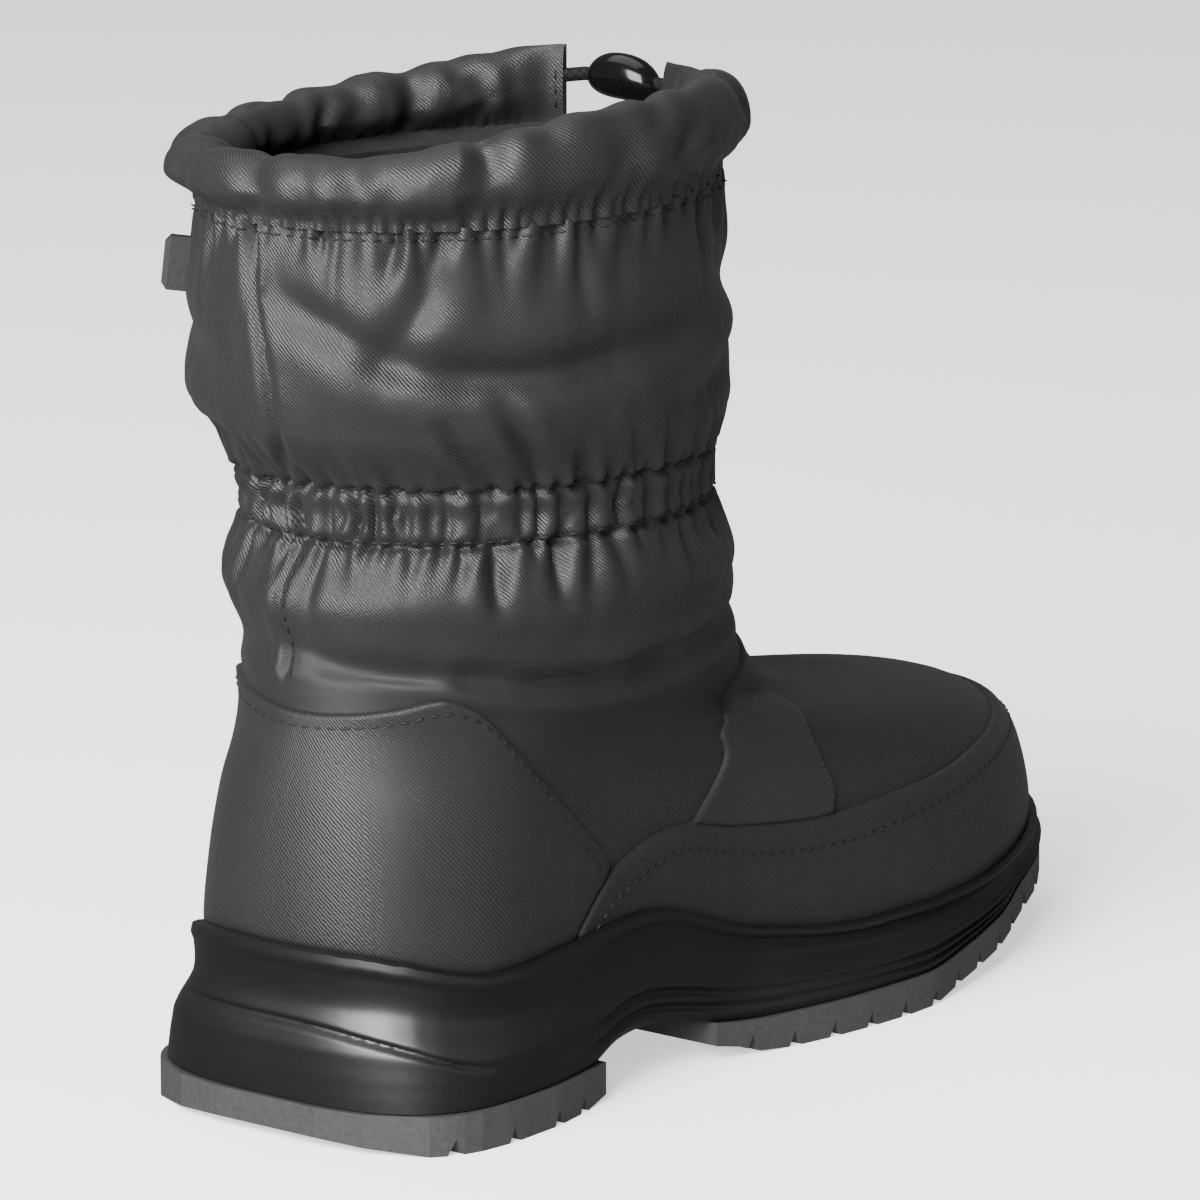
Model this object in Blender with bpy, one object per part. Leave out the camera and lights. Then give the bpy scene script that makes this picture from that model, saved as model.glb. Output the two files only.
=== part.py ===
"""Winter boot for the right foot: a gathered, padded shaft on a lasted foot and a lugged cup sole.

Sizes are in millimetres. Along runs from the back of the sole to the toe, across is positive
towards the inner side of the foot, and up starts at the floor. Meshes are made in metres.
The origin lies on the floor under the middle of the heel, and +X points to the toe.
"""

import math

import bmesh
import bpy
import numpy as np

MM = 0.001

# Driving sizes of the boot
SOLE_LENGTH = 278.0
HEEL_CENTRE = 40.0  # from the back of the sole to the origin
TOE_SWING = 8.0  # how far the toe turns to the inner side
SWING_START = 0.48  # share of the length at which that turn starts
HEEL_ROUND = (0.12, 2.9)  # share of the sole that rounds off at the heel, and how full it is
TOE_ROUND = (0.31, 2.3)
UNDER_SCALE = np.array((0.99, 0.975))  # the cup's underside against the tread's outline
WALL = 2.6  # cloth, padding and lining of the upper
GAP = 0.3  # between pieces that touch
HEEL_TREAD_END = 68.0
FORE_TREAD_START = 107.0
INNER_SLACK = 0.07  # the inner side of the forefoot is narrower by this share
RIM_LIP = 1.6  # the cup's top edge stands this far off the upper
RIM_SLOPE = 0.3  # half of the rise from that edge to the upper
INSOLE_THICK = 4.0
INSOLE_INSET = 0.6  # from the upper's inner face
POINTS_ROUND = 56  # points in one ring of the upper and the sole

# One row for each section of the last and shaft, from the cup's floor to the collar seam.
# Each is a loop from its back point to its front point, dipping between them by so much,
# with half widths near the heel, at the middle and at the ball, and the share of its length
# that rounds off at each end.
SECTION_COLUMNS = (
    "back", "back_up", "front", "front_up", "dip",
    "heel", "middle", "ball", "round_back", "round_front", "fullness",
)
SECTIONS = (
    (10.0, 30.0, 262.0, 24.0, 12.0, 36.5, 34.0, 45.0, 0.14, 0.34, 2.35),  # on the cup's floor
    (7.0, 42.0, 264.0, 33.0, 4.0, 39.0, 36.5, 46.5, 0.14, 0.34, 2.35),  # at the cup's rim
    (8.0, 58.0, 259.0, 50.0, 1.0, 38.5, 37.0, 45.5, 0.15, 0.35, 2.3),  # side of the toe
    (10.0, 72.0, 246.0, 61.0, 0.0, 37.5, 36.5, 41.0, 0.16, 0.38, 2.2),  # edge of the toe box
    (12.0, 82.0, 216.0, 67.5, 0.0, 37.0, 36.0, 35.0, 0.20, 0.43, 2.1),  # top of the toe box
    (13.5, 92.0, 182.0, 72.0, 0.0, 38.5, 37.5, 31.0, 0.26, 0.47, 2.0),  # vamp
    (13.0, 100.0, 158.0, 82.0, 0.0, 42.0, 42.0, 37.0, 0.36, 0.49, 2.0),  # instep
    (14.0, 106.0, 146.0, 98.0, 0.0, 45.0, 46.0, 44.5, 0.46, 0.50, 2.0),  # throat
    (10.7, 117.0, 139.0, 117.0, 0.0, 51.0, 51.6, 51.0, 0.50, 0.50, 2.0),  # low puff, widest
    (16.0, 129.0, 133.0, 130.0, 0.0, 48.0, 48.0, 48.0, 0.50, 0.50, 2.0),
    (17.7, 136.5, 131.7, 136.5, 0.0, 46.8, 46.8, 46.8, 0.50, 0.50, 2.0),  # waist band
    (15.0, 144.0, 132.5, 144.0, 0.0, 49.0, 49.0, 49.0, 0.50, 0.50, 2.0),
    (5.0, 156.0, 134.5, 156.0, 0.0, 54.0, 54.0, 54.0, 0.50, 0.50, 2.0),  # high puff
    (2.6, 168.0, 134.6, 168.0, 0.0, 55.0, 55.0, 55.0, 0.50, 0.50, 2.0),
    (3.0, 184.0, 134.0, 184.5, 0.5, 54.0, 54.0, 54.0, 0.50, 0.50, 2.0),
    (6.0, 201.5, 131.0, 204.0, 0.5, 51.5, 51.5, 51.5, 0.50, 0.50, 2.0),  # collar seam
)
SECTION_STATIONS = (0.15, 0.45, 0.72)  # where the three half widths lie along a section

# Half widths of the sole at shares of its length, on the outer and the inner side of the foot
SOLE_SHARE = (0.0, 0.14, 0.30, 0.55, 0.63, 0.70, 0.78, 0.85, 1.0)
SOLE_OUTER = (45.0, 46.0, 40.0, 52.0, 53.6, 50.8, 48.0, 44.2, 44.0)
SOLE_INNER = (45.0, 46.0, 39.0, 44.5, 45.5, 44.5, 42.0, 40.0, 38.0)

# Height of the cup's rim along the foot
RIM_ALONG = (0.0, 7.0, 32.0, 81.0, 127.0, 160.0, 179.0, 206.0, 237.0, 264.0, 278.0)
RIM_UP = (43.0, 42.5, 36.3, 39.5, 26.8, 22.3, 22.8, 24.0, 27.6, 31.0, 32.0)

# Underside of the cup: on the heel tread, over the arch, on the forefoot tread
UNDER_ALONG = (0.0, 62.0, 75.0, 83.0, 99.0, 112.0, 124.0, 172.0, 217.0, 278.0)
UNDER_UP = (9.3, 9.3, 12.4, 13.0, 11.0, 9.0, 8.3, 8.3, 13.0, 21.5)

# Floor face of both treads: heel bevel, flat spots, start of the forefoot, toe spring
FLOOR_ALONG = (0.0, 9.0, 60.0, 68.0, 107.0, 124.0, 172.0, 193.0, 217.0, 237.0, 269.0, 278.0)
FLOOR_UP = (2.3, 0.0, 0.0, 1.5, 4.0, 0.0, 0.0, 2.4, 5.4, 8.0, 12.2, 13.6)

# Side of the cup from the tread to the rim: share of the height, bulge beyond a straight side,
# and what the ribs add to it where they are full
SIDE_COLUMNS = ("share", "bulge", "rib")
SIDE_ROWS = (
    (0.08, 0.3, 0.9),  # low rib
    (0.15, 0.5, -0.4),
    (0.22, 0.7, 0.9),  # middle rib
    (0.29, 0.8, -0.4),
    (0.36, 0.9, 0.8),  # high rib
    (0.44, 0.4, -0.2),  # step under the hollow
    (0.66, -1.6, 0.0),  # hollow
    (0.86, -0.3, 0.0),
    (0.95, 0.9, 0.0),  # lip
)

# How full the ribs are along the foot: over the arch, and again round the toe
RIB_ALONG = (50.0, 72.0, 100.0, 125.0, 150.0, 190.0, 278.0)
RIB_FULL = (0.0, 1.0, 1.0, 0.25, 0.25, 1.0, 1.0)

# Lugs: where each notch starts along the tread, and its width and depth
HEEL_NOTCHES = (13.0, 29.0, 45.0, 56.0)
FORE_NOTCHES = (116.0, 128.0, 140.0, 152.0, 164.0, 176.0, 188.0, 200.0, 212.0, 224.0, 236.0, 248.0, 260.0)
NOTCH_WIDTH = 3.6
NOTCH_DEPTH = 3.6

# Panels on the upper: thickness, and top edges as distance along the foot and height
COUNTER_THICK = 1.0
RAND_THICK = 1.1
BAND_THICK = 0.9
PANEL_SEAT = 0.65  # between a panel and the upper, whose facets differ
BAND_SEAT = 1.0
PANEL_GAP = 0.08  # between two panels, as a share of a level
PANEL_FOOT = 0.14  # between the cup's rim and a panel, as a share of a level
PANEL_LEAST = 0.12  # least height of a panel, as a share of a level
COUNTER_ALONG = (13.0, 20.0, 27.0, 50.0, 74.0)
COUNTER_UP = (93.0, 95.0, 97.0, 76.0, 53.0)
COUNTER_END = 73.0
RAND_ALONG = (58.0, 75.0, 96.0, 122.0, 148.0, 182.0, 211.0, 240.0, 262.0)
RAND_UP = (38.0, 51.6, 56.4, 51.8, 49.4, 52.0, 54.8, 57.0, 58.0)
RAND_START = 61.0

# Instep band: share of the way round, and the levels of its front and rear edges there
BAND_COLUMNS = ("turn", "front_edge", "rear_edge")
BAND_ROWS = (
    (0.211, 0.0, 2.05),
    (0.228, 0.0, 2.73),
    (0.250, 0.0, 3.90),
    (0.268, 0.0, 4.40),
    (0.276, 3.05, 4.60),
    (0.304, 4.00, 5.15),
    (0.321, 4.40, 5.45),
    (0.360, 5.05, 5.95),
    (0.408, 5.60, 6.40),
    (0.500, 5.90, 6.85),
)

# Collar casing, drawcord, cord lock and tab
CASING_TURN = (0.0, 0.06, 0.10, 0.20, 0.27, 0.36, 0.46, 0.55, 0.60, 0.65, 0.75, 0.88, 1.0)
CASING_RISE = (7.6, 7.8, 8.4, 11.4, 12.0, 11.0, 9.6, 10.6, 9.8, 8.4, 7.2, 6.6, 7.6)  # half height there
CASING_HALF_THICK = 7.2
CASING_BORE = 2.3
BORE_RISE = 3.5  # the bore lies this far over the middle of the roll
CASING_GAP_AT = 0.511  # middle of the casing's opening, as a share of the way round
CASING_GAP_SHARE = 0.042  # half of its length
CASING_STATIONS = 24
CORD_RADIUS = 1.6
LOCK_LENGTH = 19.0
LOCK_HEIGHT = 10.5
LOCK_DEPTH = 9.0
TAB_TURN = 0.88
TAB_LEVEL = 14.15
TAB_WIDTH = 3.0
TAB_HEIGHT = 12.0
TAB_PROUD = 6.0


def clear_scene():
    for item in list(bpy.data.objects):
        bpy.data.objects.remove(item)


def smooth(stations, values, at):
    """A cubic through the stations that never overshoots their values."""
    x = np.asarray(stations, float)
    y = np.asarray(values, float)
    step = np.diff(x)
    slope = np.diff(y) / step
    tangent = np.zeros(len(x))
    same = slope[:-1] * slope[1:] > 0
    safe = np.where(same, slope[:-1] + slope[1:], 1.0)
    tangent[1:-1] = np.where(same, 2 * slope[:-1] * slope[1:] / safe, 0)
    tangent[0] = slope[0]
    tangent[-1] = slope[-1]
    at = np.clip(np.asarray(at, float), x[0], x[-1])
    i = np.clip(np.searchsorted(x, at) - 1, 0, len(step) - 1)
    t = (at - x[i]) / step[i]
    rise = (1 + 2 * t) * (1 - t) ** 2 * y[i] + t * (1 - t) ** 2 * step[i] * tangent[i]
    return rise + t * t * (3 - 2 * t) * y[i + 1] + t * t * (t - 1) * step[i] * tangent[i + 1]


def rounding(share, length, power):
    """One along most of a loop, falling to nought over the last part of it in a round end."""
    left = np.clip((length - share) / length, 0, 1)
    return (1 - left**power) ** (1 / power)


def swing(along):
    """The sideways turn of the foot towards its inner side."""
    forward = np.clip((along / SOLE_LENGTH - SWING_START) / (1 - SWING_START), 0, 1)
    return TOE_SWING * forward**2


def way_round(turn):
    """Share of the way from back to front, and side, at a turn round the foot."""
    turn = np.asarray(turn, float) % 1.0
    share = (1 - np.cos(2 * np.pi * turn)) / 2
    side = np.where(turn <= 0.5, -1.0, 1.0)
    return share, side


def upper_point(turn, level):
    """Outer face of the upper. Level 0 is the cup's floor and each section is one level higher."""
    row = dict(zip(SECTION_COLUMNS, (smooth(range(len(SECTIONS)), c, level) for c in zip(*SECTIONS))))
    share, side = way_round(turn)
    along = row["back"] + (row["front"] - row["back"]) * share
    weights = [np.clip(1 - abs(share - s) / 0.3, 0, 1) for s in SECTION_STATIONS]
    weights[0] = np.where(share < SECTION_STATIONS[0], 1, weights[0])
    weights[2] = np.where(share > SECTION_STATIONS[2], 1, weights[2])
    weights = [w * w * (3 - 2 * w) for w in weights]
    total = sum(weights)
    half = (weights[0] * row["heel"] + weights[1] * row["middle"] + weights[2] * row["ball"]) / total
    half = half * rounding(share, row["round_back"], row["fullness"])
    half = half * rounding(1 - share, row["round_front"], row["fullness"])
    foot = np.clip((7 - np.asarray(level, float)) / 3, 0, 1) * np.clip((share - 0.3) / 0.3, 0, 1)
    half = half * (1 + INNER_SLACK * foot * np.where(side < 0, 0.5, -1.0))
    up = row["back_up"] + (row["front_up"] - row["back_up"]) * share - row["dip"] * np.sin(np.pi * share)
    return np.stack([along, side * half + swing(along), up + 0 * along], -1)


def upper_normal(turn, level):
    """Outward direction of the upper."""
    step = 1e-3
    tangent = upper_point(turn + step, level) - upper_point(turn - step, level)
    rise = upper_point(turn, level + step) - upper_point(turn, level - step)
    normal = np.cross(tangent, rise)
    return normal / np.linalg.norm(normal, axis=-1, keepdims=True)


def upper_offset(turn, level, out):
    """The upper's face moved outwards by a thickness, or inwards by a negative one."""
    out = np.asarray(out, float)
    return upper_point(turn, level) + upper_normal(turn, level) * out[..., None]


def floor_up(along):
    """Height of the upper's lower edge, just over the cup's floor."""
    row = dict(zip(SECTION_COLUMNS, SECTIONS[0]))
    share = np.clip((along - row["back"]) / (row["front"] - row["back"]), 0, 1)
    return row["back_up"] + (row["front_up"] - row["back_up"]) * share - row["dip"] * np.sin(np.pi * share)


def floor_ring(turns, inset, lift):
    """A ring of points on the cup's floor, inset from the upper's lower edge and lifted."""
    level = 0 * turns
    flat = upper_normal(turns, level) * np.array((1, 1, 0))
    flat /= np.linalg.norm(flat, axis=-1, keepdims=True)
    ring = upper_point(turns, level) - flat * inset
    ring[:, 2] = floor_up(ring[:, 0]) + lift
    return ring


def rim_level(turn):
    """Level of the upper at which the cup's rim meets it, at each turn."""
    levels = np.linspace(0.2, 4, 120)
    turns = np.asarray(turn, float)
    points = upper_point(turns[:, None], levels[None, :])
    height = smooth(RIM_ALONG, RIM_UP, points[..., 0])
    above = points[..., 2] - height > 0
    return levels[np.argmax(above, axis=1)]


def sole_outline(turn):
    """Plan of the sole's edge on the floor."""
    share, side = way_round(turn)
    half = np.where(side < 0, smooth(SOLE_SHARE, SOLE_OUTER, share), smooth(SOLE_SHARE, SOLE_INNER, share))
    half = half * rounding(share, *HEEL_ROUND) * rounding(1 - share, *TOE_ROUND)
    along = share * SOLE_LENGTH
    return along, side * half + swing(along)


def tread_bottom(along):
    """Floor contact, with the heel bevel and the toe spring."""
    return smooth(FLOOR_ALONG, FLOOR_UP, along)


def to_metres(points):
    points = np.asarray(points, float) - np.array((HEEL_CENTRE, 0.0, 0.0))
    return points * MM


def loft(name, rings, material, closed_rings=True):
    """A solid through rings of points. The first and last rings are capped, or joined to a loop."""
    form = bmesh.new()
    rows = [[form.verts.new(p) for p in to_metres(ring)] for ring in rings]
    count = len(rows[0])
    pairs = list(zip(rows, rows[1:]))
    if not closed_rings:
        pairs.append((rows[-1], rows[0]))
    for low, high in pairs:
        for i in range(count):
            j = (i + 1) % count
            form.faces.new((low[i], low[j], high[j], high[i]))
    if closed_rings:
        for row in (rows[0], rows[-1]):
            cap_ring(form, row)
    return finish(name, form, material)


def cap_ring(form, row):
    """Closes a ring with strips across it, from its first point to the one half way round."""
    count = len(row)
    for i in range(count // 2):
        corners = [row[i], row[i + 1], row[(count - i - 1) % count], row[(count - i) % count]]
        unique = list(dict.fromkeys(corners))
        if len(unique) > 2:
            form.faces.new(unique)


def finish(name, form, material):
    bmesh.ops.recalc_face_normals(form, faces=form.faces)
    mesh = bpy.data.meshes.new(name)
    form.to_mesh(mesh)
    form.free()
    mesh.shade_smooth()
    mesh.set_sharp_from_angle(angle=math.radians(40))
    item = bpy.data.objects.new(name, mesh)
    mesh.materials.append(material)
    bpy.context.scene.collection.objects.link(item)
    return item


def paint(name, colour, roughness):
    material = bpy.data.materials.new(name)
    material.use_nodes = True
    shader = material.node_tree.nodes["Principled BSDF"]
    shader.inputs["Base Color"].default_value = (*colour, 1)
    shader.inputs["Roughness"].default_value = roughness
    return material


def make_upper(cloth):
    """One hollow wall from the cup's floor to the collar seam, open at both ends."""
    turns = np.arange(POINTS_ROUND) / POINTS_ROUND
    outer_levels = np.concatenate([np.arange(0, 5, 0.5), np.arange(5, 7.5, 0.25), np.arange(7.5, 15.01, 0.5)])
    inner_levels = np.concatenate([(15.0, 13.5, 12.0), np.arange(11, -0.01, -1.0)])
    rings = [upper_point(turns, level) for level in outer_levels]
    rings += [upper_offset(turns, level, -WALL) for level in inner_levels]
    return loft("upper", rings, cloth, closed_rings=False)


def make_midsole(rubber):
    """The cup: side from tread to rim, lip, inner wall beside the upper, and the floor."""
    turns = np.arange(POINTS_ROUND) / POINTS_ROUND
    along, across = sole_outline(turns)
    along = SOLE_LENGTH / 2 + (along - SOLE_LENGTH / 2) * UNDER_SCALE[0]
    low = np.stack([along, across * UNDER_SCALE[1], smooth(UNDER_ALONG, UNDER_UP, along)], -1)
    rim = rim_level(turns)
    outward = upper_normal(turns, rim) * np.array((1, 1, 0))
    high = upper_point(turns, rim) + outward * RIM_LIP
    full = smooth(RIB_ALONG, RIB_FULL, along)
    slope = np.array((0, 0, RIM_SLOPE))
    rings = [low]
    for values in SIDE_ROWS:
        row = dict(zip(SIDE_COLUMNS, values))
        bulge = row["bulge"] + row["rib"] * full
        rings.append(low + (high - low) * row["share"] + outward * bulge[:, None])
    rings.append(high - slope)
    rings.append(upper_offset(turns, rim, GAP) + slope)
    rings.append(upper_offset(turns, rim * 0.5, GAP))
    rings.append(floor_ring(turns, -GAP, -GAP))
    return loft("midsole", rings, rubber)


def make_insole(felt):
    """A footbed on the cup's floor, inside the upper's wall."""
    turns = np.arange(POINTS_ROUND) / POINTS_ROUND
    inset = WALL + INSOLE_INSET
    low = floor_ring(turns, inset, 0.0)
    high = floor_ring(turns, inset, INSOLE_THICK)
    return loft("insole", [low, high], felt)


def make_tread(name, start, end, notches, rubber):
    """Plate with lugs: slices along the foot, each notch a step up in the underside."""
    stations = list(np.linspace(0, 1, 9))
    slices = [start + (end - start) * (1 - math.cos(math.pi * s)) / 2 for s in stations]
    stops = [(along, 0.0) for along in slices]
    for notch in notches:
        for shift, depth in ((0, 0), (NOTCH_WIDTH / 2, NOTCH_DEPTH), (NOTCH_WIDTH, 0)):
            stops.append((notch + shift, depth))
    in_notch = [(n, n + NOTCH_WIDTH) for n in notches]
    stops = [s for s in stops if s[1] > 0 or not any(a < s[0] < b for a, b in in_notch)]
    stops = sorted(set(stops))
    table = np.linspace(0, 0.5, 400)
    edge_along, outer = sole_outline(table)
    inner = sole_outline(1 - table[1:])[1]
    inner = np.concatenate([outer[:1], inner])
    rings = []
    for along, notch in stops:
        along = min(max(along, 0.4), SOLE_LENGTH - 0.4)
        low = float(tread_bottom(along)) + notch
        high = float(smooth(UNDER_ALONG, UNDER_UP, along)) - GAP
        if along <= HEEL_TREAD_END:
            high = min(high, UNDER_UP[0] - GAP)
        left = float(np.interp(along, edge_along, outer))
        right = float(np.interp(along, edge_along, inner))
        corners = ((left, low), (right, low), (right, high), (left, high))
        rings.append([(along, across, up) for across, up in corners])
    return loft(name, rings, rubber)


def panel(name, outline, thick, cloth, rows=7, seat=PANEL_SEAT):
    """A patch on the upper. The outline gives, for each turn, its low and high level."""
    turns = np.array([o[0] for o in outline])
    low = np.array([o[1] for o in outline])
    high = np.array([o[2] for o in outline])
    form = bmesh.new()
    faces = []
    for out in (seat, seat + thick):
        grid = []
        for k in range(rows):
            level = low + (high - low) * k / (rows - 1)
            points = to_metres(upper_offset(turns, level, np.full(len(turns), out)))
            grid.append([form.verts.new(p) for p in points])
        faces.append(grid)
    inner, outer = faces
    last = len(turns) - 1
    for k in range(rows - 1):
        for i in range(last):
            form.faces.new((outer[k][i], outer[k][i + 1], outer[k + 1][i + 1], outer[k + 1][i]))
            form.faces.new((inner[k][i], inner[k + 1][i], inner[k + 1][i + 1], inner[k][i + 1]))
        for i in (0, last):
            form.faces.new((inner[k][i], outer[k][i], outer[k + 1][i], inner[k + 1][i]))
    for i in range(last):
        for k in (0, rows - 1):
            form.faces.new((inner[k][i], inner[k][i + 1], outer[k][i + 1], outer[k][i]))
    return finish(name, form, cloth)


def turn_at(along, level):
    """Turn on the outer side at a distance along the foot."""
    turns = np.linspace(0.0, 0.5, 400)
    return float(np.interp(along, upper_point(turns, np.full(400, float(level)))[:, 0], turns))


def above_rim(turn):
    return float(rim_level(np.array([turn]))[0]) + PANEL_FOOT


def edge_level(turn, along_table, up_table):
    """Level of a panel's top edge at a turn, from its table of heights along the foot."""
    levels = np.linspace(0.5, 8, 300)
    points = upper_point(np.full(300, turn), levels)
    over = points[:, 2] - smooth(along_table, up_table, points[:, 0])
    return float(levels[np.argmax(over > 0)])


def rand_edge(turn):
    """Low and high level of the mudguard at a turn."""
    low = above_rim(turn)
    return low, max(low + PANEL_LEAST, edge_level(turn, RAND_ALONG, RAND_UP))


def panel_turns():
    """Turns shared by both lasted panels, and the one where the mudguard starts."""
    turns = np.arange(POINTS_ROUND + 1) / POINTS_ROUND - 0.5
    start = turn_at(RAND_START, 1.0)
    return turns, turns[turns >= start][0]


def make_counter(cloth):
    turns, start = panel_turns()
    last = turn_at(COUNTER_END, 1.6)
    outline = []
    for turn in turns[abs(turns) <= last]:
        low = above_rim(turn)
        if abs(turn) > start - 1e-6:
            low = rand_edge(turn)[1] + PANEL_GAP
        high = max(low + PANEL_LEAST, edge_level(turn, COUNTER_ALONG, COUNTER_UP))
        outline.append((turn, low, high))
    return panel("heel_counter", outline, COUNTER_THICK, cloth)


def make_rand(cloth):
    turns, start = panel_turns()
    round_toe = np.concatenate([turns[turns > start - 1e-6], turns[turns < 1e-6 - start][1:] + 1])
    outline = [(turn, *rand_edge(turn)) for turn in round_toe]
    return panel("mudguard", outline, RAND_THICK, cloth, rows=5)


def make_band(cloth):
    """The saddle over the instep, from the mudguard's edge on one side to the other."""
    columns = dict(zip(BAND_COLUMNS, zip(*BAND_ROWS)))
    turns = np.arange(POINTS_ROUND) / POINTS_ROUND
    outline = []
    for turn in turns[abs(turns - 0.5) <= 0.5 - columns["turn"][0]]:
        near = min(turn, 1 - turn)
        low = float(smooth(columns["turn"], columns["front_edge"], near))
        low = max(low, rand_edge(turn)[1] + PANEL_GAP)
        high = float(smooth(columns["turn"], columns["rear_edge"], near))
        outline.append((turn, low, max(high, low + PANEL_LEAST)))
    return panel("instep_band", outline, BAND_THICK, cloth, rows=9, seat=BAND_SEAT)


def casing_frame(turn):
    """Middle of the casing's roll, half of its height, and its outward direction on the level."""
    top = np.full(np.shape(turn), 15.0)
    middle = upper_point(turn, top)
    rise = smooth(CASING_TURN, CASING_RISE, np.asarray(turn, float) % 1.0)
    middle[..., 2] += rise + GAP
    outward = upper_normal(turn, top) * np.array((1, 1, 0))
    return middle, rise, outward / np.linalg.norm(outward, axis=-1, keepdims=True)


def bore_point(turn):
    """Middle of the cord's bore in the casing."""
    return casing_frame(turn)[0] + np.array((0.0, 0.0, BORE_RISE))


def casing_turns():
    """Turns from one end of the casing's gap round to the other."""
    first = CASING_GAP_AT + CASING_GAP_SHARE
    last = CASING_GAP_AT + 1 - CASING_GAP_SHARE
    return np.linspace(first, last, CASING_STATIONS)


def make_casing(cloth):
    """The gathered roll at the collar: a tube open at both ends of its gap, with the cord's bore."""
    middle, rises, outward = casing_frame(casing_turns())
    sides = 10
    angles = np.arange(sides) * 2 * np.pi / sides
    up = np.array((0.0, 0.0, 1.0))
    outer = []
    inner = []
    for point, rise, out in zip(middle, rises, outward):
        level = np.cos(angles)[:, None] * out
        lift = np.sin(angles)[:, None] * up
        outer.append(point + level * CASING_HALF_THICK + lift * rise)
        inner.append(point + up * BORE_RISE + (level + lift) * CASING_BORE)
    return loft("collar_casing", outer + inner[::-1], cloth, closed_rings=False)


def tube(name, points, radius, material, sides=6):
    """A round cord along points."""
    points = np.asarray(points, float)
    heading = np.gradient(points, axis=0)
    heading /= np.linalg.norm(heading, axis=1, keepdims=True)
    angles = np.arange(sides) * 2 * np.pi / sides
    rings = []
    for point, ahead in zip(points, heading):
        level = np.cross(ahead, (0.0, 0.0, 1.0))
        level /= np.linalg.norm(level)
        rise = np.cross(level, ahead)
        rings.append(point + radius * (np.cos(angles)[:, None] * level + np.sin(angles)[:, None] * rise))
    return loft(name, rings, material)


def lock_place():
    """Middle of the cord lock, the way along the cord there, and the way out of the boot."""
    turn = np.array([CASING_GAP_AT])
    outward = casing_frame(turn)[2]
    step = bore_point(turn + 1e-3) - bore_point(turn - 1e-3)
    return bore_point(turn)[0] + outward[0], step[0] / np.linalg.norm(step[0]), outward[0]


def make_cord(braid):
    """The drawcord: round the collar inside the casing, and up to both ends of the lock."""
    middle, ahead, _ = lock_place()
    path = bore_point(casing_turns())
    lead = [ahead * (LOCK_LENGTH / 2 + GAP + step) for step in (0.0, 1.2)]
    first = [middle + out for out in lead]
    last = [middle - out for out in reversed(lead)]
    path = np.concatenate([first, path, last])
    return tube("drawcord", path, CORD_RADIUS, braid)


def make_lock(plastic):
    """The bean-shaped cord lock."""
    middle, ahead, outward = lock_place()
    up = np.array((0.0, 0.0, 1.0))
    sides = 10
    angles = np.arange(sides) * 2 * np.pi / sides
    rings = []
    for share in np.linspace(-1, 1, 9):
        full = math.sqrt(max(1 - abs(share) ** 2.6, 0.12))
        level = np.cos(angles)[:, None] * outward * LOCK_DEPTH / 2
        lift = np.sin(angles)[:, None] * up * LOCK_HEIGHT / 2
        rings.append(middle + ahead * share * LOCK_LENGTH / 2 + (level + lift) * full)
    return loft("cord_lock", rings, plastic)


def make_tab(rubber):
    """A small moulded pull tab sewn to the back of the shaft, on the inner side."""
    turn = np.array([TAB_TURN])
    level = np.array([TAB_LEVEL])
    middle = upper_point(turn, level)[0]
    out = upper_normal(turn, level)[0]
    side = np.cross((0.0, 0.0, 1.0), out)
    side /= np.linalg.norm(side)
    rise = np.cross(out, side)
    rings = []
    for depth, grow in ((GAP, 1.0), (0.8 * TAB_PROUD, 1.0), (TAB_PROUD, 0.75)):
        half = np.array((TAB_WIDTH, TAB_HEIGHT)) * grow / 2
        corners = ((-1, -1), (1, -1), (1, 1), (-1, 1))
        rings.append([middle + out * depth + side * a * half[0] + rise * b * half[1] for a, b in corners])
    return loft("side_tab", rings, rubber)


def main():
    clear_scene()
    satin = paint("satin_cloth", (0.045, 0.045, 0.045), 0.45)
    matte = paint("matte_cloth", (0.05, 0.05, 0.047), 0.8)
    black = paint("black_rubber", (0.012, 0.012, 0.012), 0.35)
    grey = paint("grey_rubber", (0.07, 0.07, 0.072), 0.6)
    felt = paint("felt", (0.03, 0.03, 0.03), 0.95)
    gloss = paint("gloss_black", (0.01, 0.01, 0.01), 0.2)
    braid = paint("braid", (0.012, 0.012, 0.012), 0.8)
    make_upper(satin)
    make_midsole(black)
    make_insole(felt)
    make_tread("heel_tread", 0.0, HEEL_TREAD_END, HEEL_NOTCHES, grey)
    make_tread("forefoot_tread", FORE_TREAD_START, SOLE_LENGTH, FORE_NOTCHES, grey)
    make_counter(satin)
    make_rand(satin)
    make_band(matte)
    make_casing(satin)
    make_cord(braid)
    make_lock(gloss)
    make_tab(black)


main()
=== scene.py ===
import math

import bmesh
import bpy
import numpy as np
from mathutils import Matrix, Vector, noise


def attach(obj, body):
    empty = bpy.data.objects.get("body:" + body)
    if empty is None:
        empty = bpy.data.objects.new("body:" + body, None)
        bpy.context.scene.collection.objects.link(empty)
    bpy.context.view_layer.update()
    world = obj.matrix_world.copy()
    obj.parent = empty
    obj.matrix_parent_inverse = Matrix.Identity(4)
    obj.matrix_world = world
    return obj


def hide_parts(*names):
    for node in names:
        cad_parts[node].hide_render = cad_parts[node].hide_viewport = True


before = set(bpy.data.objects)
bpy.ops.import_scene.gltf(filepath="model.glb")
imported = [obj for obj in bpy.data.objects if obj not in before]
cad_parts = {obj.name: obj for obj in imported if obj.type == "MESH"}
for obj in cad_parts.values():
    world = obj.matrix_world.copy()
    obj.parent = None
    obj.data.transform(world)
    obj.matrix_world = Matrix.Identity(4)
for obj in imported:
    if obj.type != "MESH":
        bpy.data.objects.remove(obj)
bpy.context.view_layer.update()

mm = 0.001

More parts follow.
